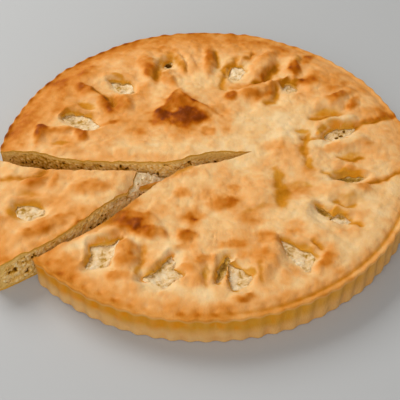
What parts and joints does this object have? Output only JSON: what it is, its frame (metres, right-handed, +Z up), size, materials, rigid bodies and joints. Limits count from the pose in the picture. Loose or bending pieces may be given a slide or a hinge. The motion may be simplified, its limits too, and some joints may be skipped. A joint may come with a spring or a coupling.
{
  "type": "ossetian pie",
  "caption": "Round flat pie with a fluted side, filled with crumbly cheese under a browned, vented crust, with one slice cut free and drawn out a little.",
  "frame": {"origin": "the middle of the pie and its slice together, on the surface that they lie on", "axes": "+Z up out of the pie's browned top, the slice is drawn out towards -X and a little towards -Y"},
  "size_m": [0.349, 0.3216, 0.0305],
  "materials": {
    "browned_crust": "baked dough, satin where it is glazed and browned, matt and paler on its side",
    "cheese_filling": "matt and crumbly, like baked curd cheese"
  },
  "bodies": {
    "root": {"pie_crust": "browned_crust", "pie_filling": "cheese_filling", "slice_crust": "browned_crust", "slice_filling": "cheese_filling"}
  },
  "joints": []
}
